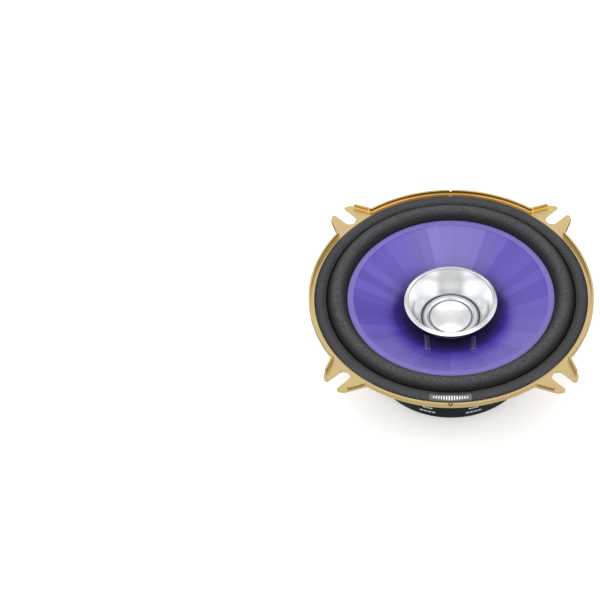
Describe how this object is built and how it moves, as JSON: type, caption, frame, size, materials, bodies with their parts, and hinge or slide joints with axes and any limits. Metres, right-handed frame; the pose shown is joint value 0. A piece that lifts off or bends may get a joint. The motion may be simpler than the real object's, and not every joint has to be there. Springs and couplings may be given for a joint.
{
  "type": "dual-cone car loudspeaker",
  "caption": "Round 130 mm car loudspeaker: slotted steel basket, foam-edged violet cone, chrome whizzer bowl and cap, ferrite motor and blade terminals.",
  "frame": {"origin": "on the speaker's axis, in the plane of the flange's back face", "axes": "+Z points out of the cone, away from the magnet; -Y is the side of the leads and terminals; +X is to the right seen from that side"},
  "size_m": [0.13, 0.13, 0.0507],
  "materials": {
    "zinc_steel": "yellow zinc chromate plating, satin",
    "gasket": "matte dark grey, fine grain",
    "foam": "black foam, fine open grain",
    "cone_film": "violet mineral-filled film, satin sheen with radial facets",
    "chrome": "bright polished",
    "former": "thin rolled sheet",
    "copper": "enamelled copper wire",
    "brass": "bright",
    "glue": "dark translucent adhesive",
    "cloth": "resin-stiffened cotton cloth",
    "plate_steel": "black phosphate on steel",
    "ferrite": "black painted ferrite",
    "rivet_steel": "bright steel",
    "board": "brown pressed fibre board",
    "tinned": "tinned"
  },
  "bodies": {
    "frame": {"basket_frame": "zinc_steel", "gasket_ring": "gasket", "surround": "foam", "spider": "cloth", "top_plate": "plate_steel", "magnet": "ferrite", "back_plate": "plate_steel", "pole_piece": "rivet_steel", "plate_rivets": "rivet_steel", "terminal_board": "board", "terminal_rivets": "brass", "terminal_tab_positive": "tinned", "terminal_tab_negative": "tinned", "tinsel_lead_positive": "copper", "tinsel_lead_negative": "copper"},
    "cone_assembly": {"main_cone": "cone_film", "whizzer_cone": "chrome", "centre_cap": "chrome", "coil_former": "former", "coil_winding": "copper", "coil_leads": "copper", "lead_eyelets": "brass", "lead_beads": "glue"}
  },
  "joints": [
    {"name": "cone_travel", "type": "slide", "parent": "frame", "child": "cone_assembly", "axis": [0, 0, 1], "range_m": [-0.003, 0.003], "stiffness_N_per_m": 1500, "deforming": ["surround", "spider", "tinsel_lead_positive", "tinsel_lead_negative"]}
  ]
}
